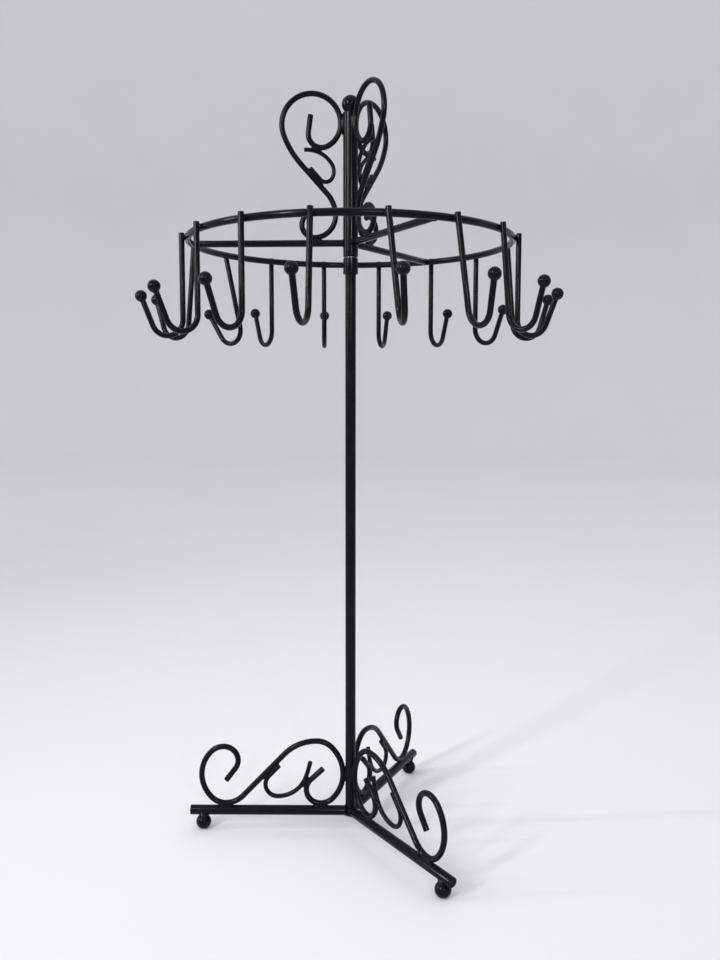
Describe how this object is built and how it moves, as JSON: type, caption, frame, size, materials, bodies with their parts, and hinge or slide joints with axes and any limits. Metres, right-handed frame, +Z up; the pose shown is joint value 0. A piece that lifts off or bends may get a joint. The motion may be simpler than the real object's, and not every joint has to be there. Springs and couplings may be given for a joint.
{
  "type": "necklace stand",
  "caption": "Revolving necklace stand in black painted steel wire: a scrolled base on ball feet and a slim pole carry a turning ring of ball-tipped J hooks under heart scrolls and a finial.",
  "frame": {"origin": "on the pole's axis, at the surface that the three ball feet stand on", "axes": "+Z up along the pole; -Y faces the pictured view, +X to its right"},
  "size_m": [0.2493, 0.2483, 0.4456],
  "materials": {
    "black_paint": "semi-gloss black paint over steel wire, pooled at the welds",
    "washer_steel": "dark bare steel, rubbed by turning"
  },
  "bodies": {
    "base": {"arm_back": "black_paint", "arm_front": "black_paint", "arm_left": "black_paint", "foot_back": "black_paint", "foot_front": "black_paint", "foot_left": "black_paint", "pole": "black_paint", "scroll_large_back": "black_paint", "scroll_large_front": "black_paint", "scroll_large_left": "black_paint", "scroll_small_back": "black_paint", "scroll_small_front": "black_paint", "scroll_small_left": "black_paint", "stop_collar": "black_paint"},
    "swivel": {"thrust_washer": "washer_steel"},
    "head": {"finial": "black_paint", "head_tube": "black_paint", "heart_back": "black_paint", "heart_curl_back": "black_paint", "heart_curl_front": "black_paint", "heart_curl_left": "black_paint", "heart_front": "black_paint", "heart_left": "black_paint", "hook_01": "black_paint", "hook_02": "black_paint", "hook_03": "black_paint", "hook_04": "black_paint", "hook_05": "black_paint", "hook_06": "black_paint", "hook_07": "black_paint", "hook_08": "black_paint", "hook_09": "black_paint", "hook_10": "black_paint", "hook_11": "black_paint", "hook_12": "black_paint", "hook_13": "black_paint", "hook_14": "black_paint", "hook_15": "black_paint", "hook_16": "black_paint", "hook_ball_01": "black_paint", "hook_ball_02": "black_paint", "hook_ball_03": "black_paint", "hook_ball_04": "black_paint", "hook_ball_05": "black_paint", "hook_ball_06": "black_paint", "hook_ball_07": "black_paint", "hook_ball_08": "black_paint", "hook_ball_09": "black_paint", "hook_ball_10": "black_paint", "hook_ball_11": "black_paint", "hook_ball_12": "black_paint", "hook_ball_13": "black_paint", "hook_ball_14": "black_paint", "hook_ball_15": "black_paint", "hook_ball_16": "black_paint", "ring": "black_paint", "spoke_back": "black_paint", "spoke_front": "black_paint", "spoke_left": "black_paint"}
  },
  "joints": [
    {"name": "head_spin", "type": "hinge", "parent": "base", "child": "swivel", "pos_m": [0, 0, 0.351], "axis": [0, 0, 1], "continuous": true},
    {"name": "head_lift", "type": "slide", "parent": "swivel", "child": "head", "axis": [0, 0, 1], "range_m": [0, 0.08]}
  ]
}
